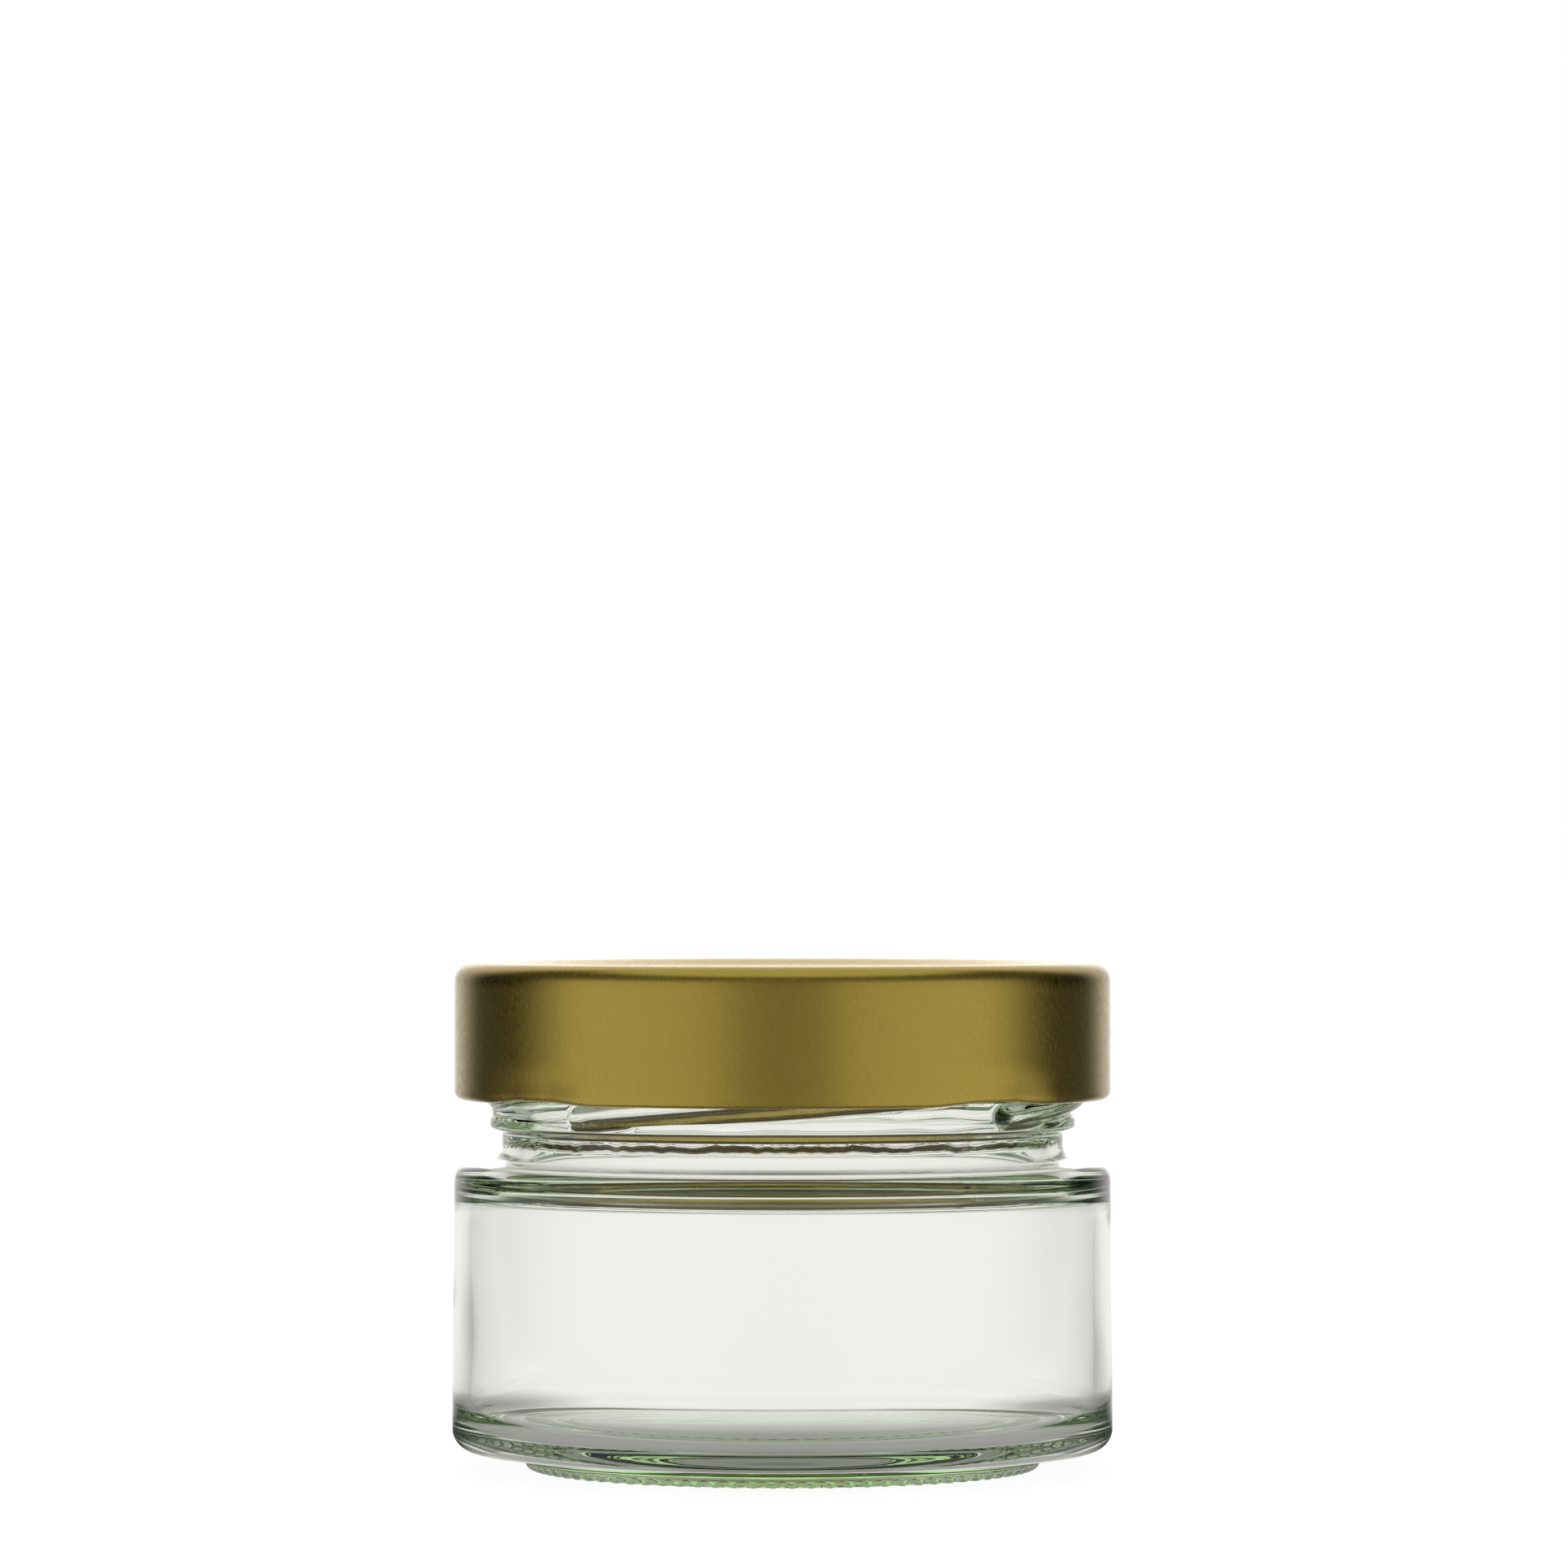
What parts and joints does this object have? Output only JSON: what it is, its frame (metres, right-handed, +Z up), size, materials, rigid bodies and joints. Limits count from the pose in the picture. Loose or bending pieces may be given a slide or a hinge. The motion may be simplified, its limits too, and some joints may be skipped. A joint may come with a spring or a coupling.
{
  "type": "lug cap preserving jar",
  "caption": "Low straight-sided glass preserving jar with a wide mouth, a deep gold twist-off lug cap and a sealing ring under it.",
  "frame": {"origin": "centre of the bearing ring, on the surface the jar stands on", "axes": "+Z up along the axis of the jar, from the foot to the cap; -Y faces the front view"},
  "size_m": [0.074, 0.074, 0.0567],
  "materials": {
    "clear_glass": "clear flint glass, pressed and blown, fire polished, faint green tint in thick sections",
    "gold_tinplate": "tinplate under a transparent gold lacquer, satin, fine rolled grain",
    "sealing_compound": "flowed-in and cured soft vinyl compound, matte"
  },
  "bodies": {
    "jar": {"glass_jar": "clear_glass"},
    "seal": {"sealing_gasket": "sealing_compound"},
    "cap": {"cap_shell": "gold_tinplate"}
  },
  "joints": [
    {"name": "cap_rise", "type": "slide", "parent": "jar", "child": "seal", "axis": [0, 0, 1], "range_m": [0, 0.02401]},
    {"name": "cap_turn", "type": "hinge", "parent": "seal", "child": "cap", "pos_m": [0, 0, 0.05], "axis": [0, 0, 1], "range_deg": [0, 540]}
  ],
  "couplings": [
    {"joint": "cap_rise", "follows": "cap_turn", "m_per_rad": 0.0025465}
  ]
}
